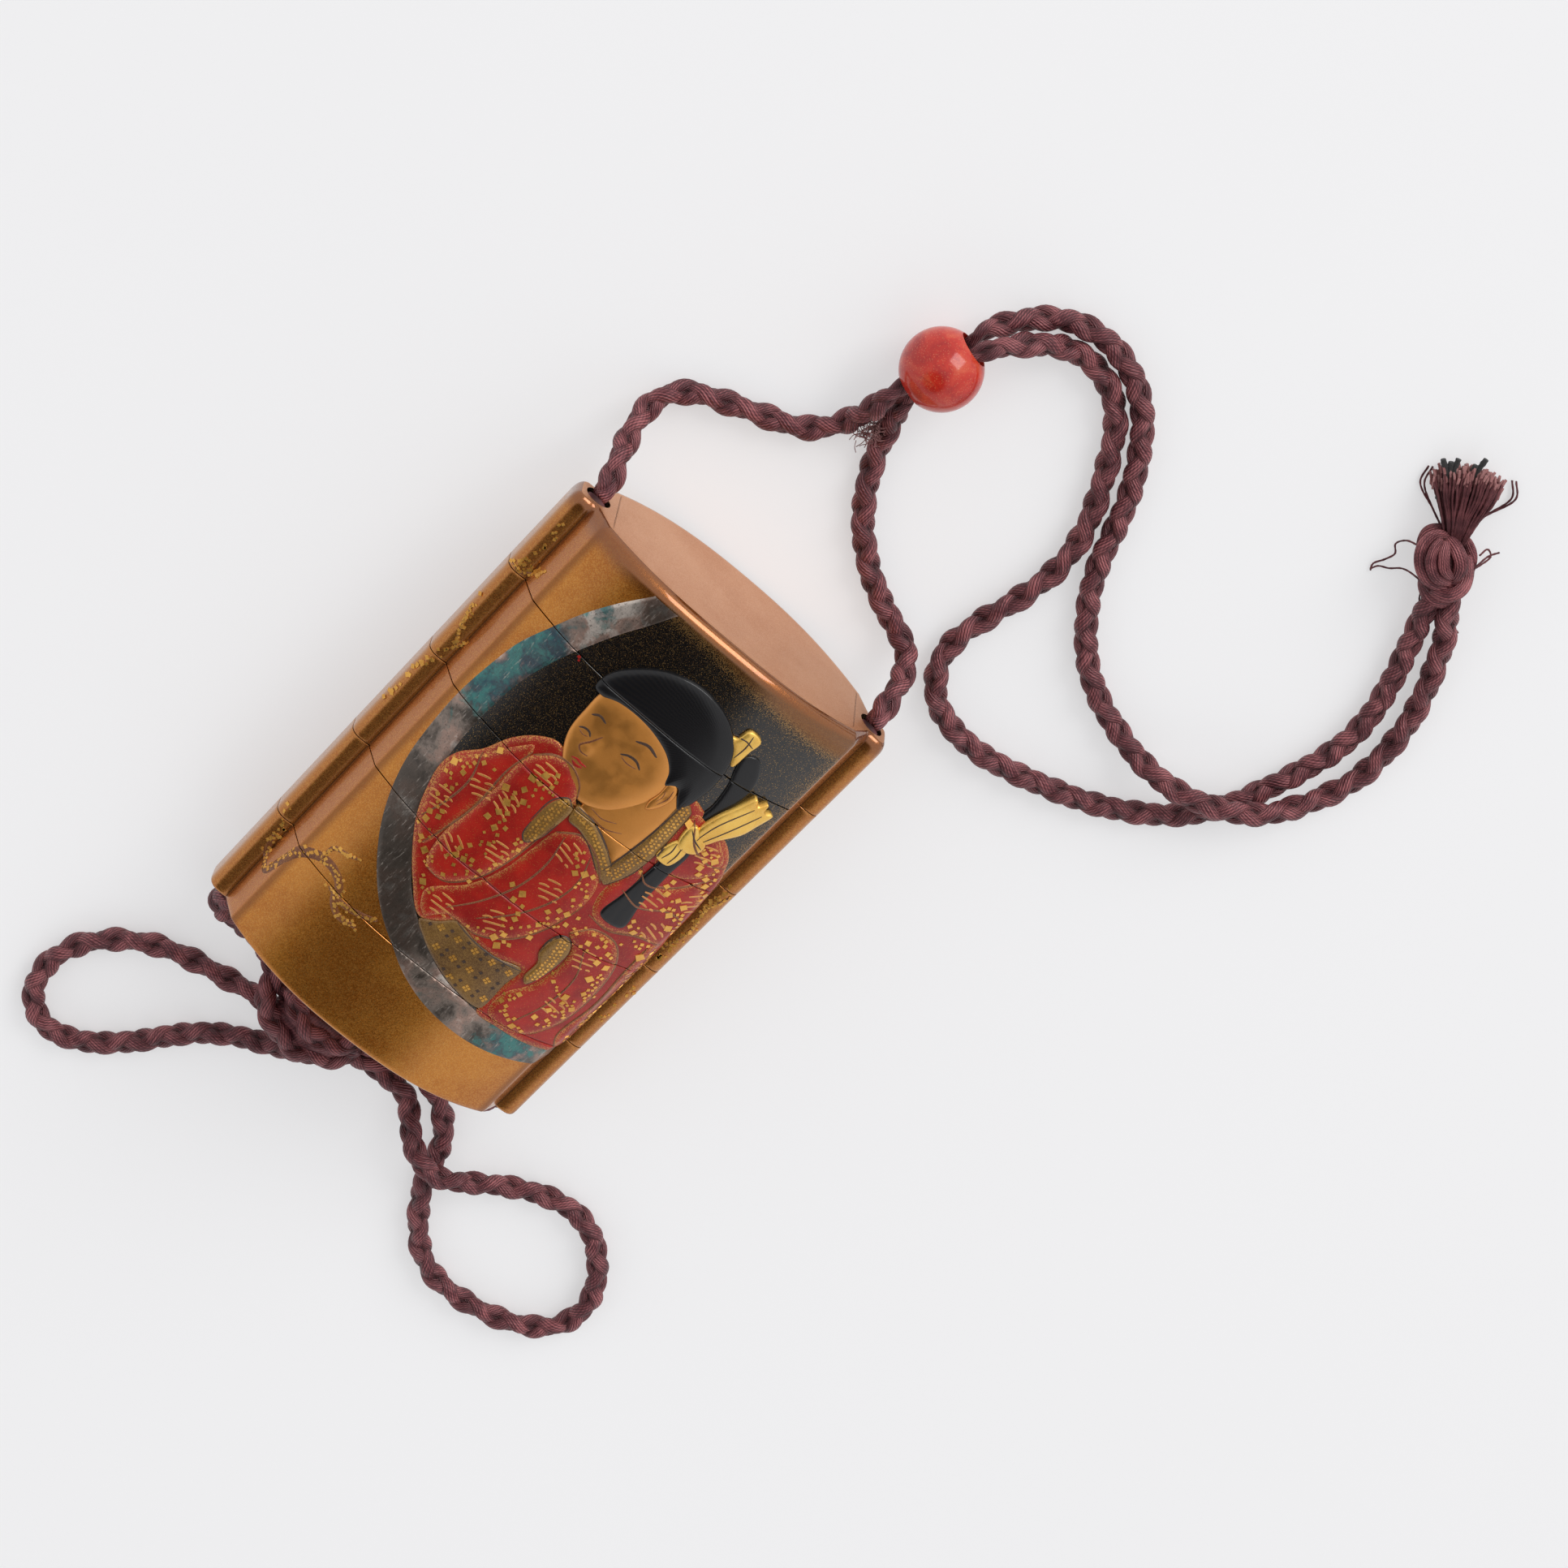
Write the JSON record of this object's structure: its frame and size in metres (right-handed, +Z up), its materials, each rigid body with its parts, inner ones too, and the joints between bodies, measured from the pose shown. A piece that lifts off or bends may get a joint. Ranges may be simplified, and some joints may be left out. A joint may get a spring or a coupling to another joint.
{
  "type": "inro case",
  "caption": "Flat oval inro case of a lid and stacked compartments on a silk cord with a bead, bow and tassel, lacquered gold and black with a seated figure at a round window.",
  "frame": {"origin": "on the table under the middle of the case, which lies on its back", "axes": "+Y along the case from base to lid, +X across the case to the right as its front is read, +Z up, out of the decorated front"},
  "size_m": [0.1261, 0.2158, 0.0272],
  "materials": {
    "gold_lacquer": "gold powder sprinkled in clear lacquer, satin gloss",
    "copper_lacquer": "copper-gold powder in lacquer, soft satin",
    "black_lacquer": "polished black lacquer with scattered gold dust",
    "red_lacquer": "polished raised red lacquer",
    "ochre_lacquer": "raised ochre lacquer with small gold squares",
    "gold_inlay": "gold foil and raised gold lacquer",
    "silver_inlay": "aged silver with teal, rose and dark patches",
    "silk_cord": "braided maroon silk",
    "black_thread": "cut black thread",
    "red_bead": "polished mottled red, like coral"
  },
  "bodies": {
    "root": {"lid": "copper_lacquer", "case_1": "gold_lacquer", "case_2": "gold_lacquer", "case_3": "gold_lacquer", "case_4": "gold_lacquer", "cord_channel_left": "silk_cord", "cord_channel_right": "silk_cord", "cord_upper_left": "silk_cord", "cord_upper_right": "silk_cord", "cord_in_bead": "silk_cord", "cord_outer_a": "silk_cord", "cord_outer_b": "silk_cord", "cord_base_left": "silk_cord", "cord_base_right": "silk_cord", "cord_bow_left": "silk_cord", "cord_bow_right": "silk_cord", "bead": "red_bead", "bow_knot": "silk_cord", "end_knot": "silk_cord", "tassel": "silk_cord"}
  },
  "joints": []
}
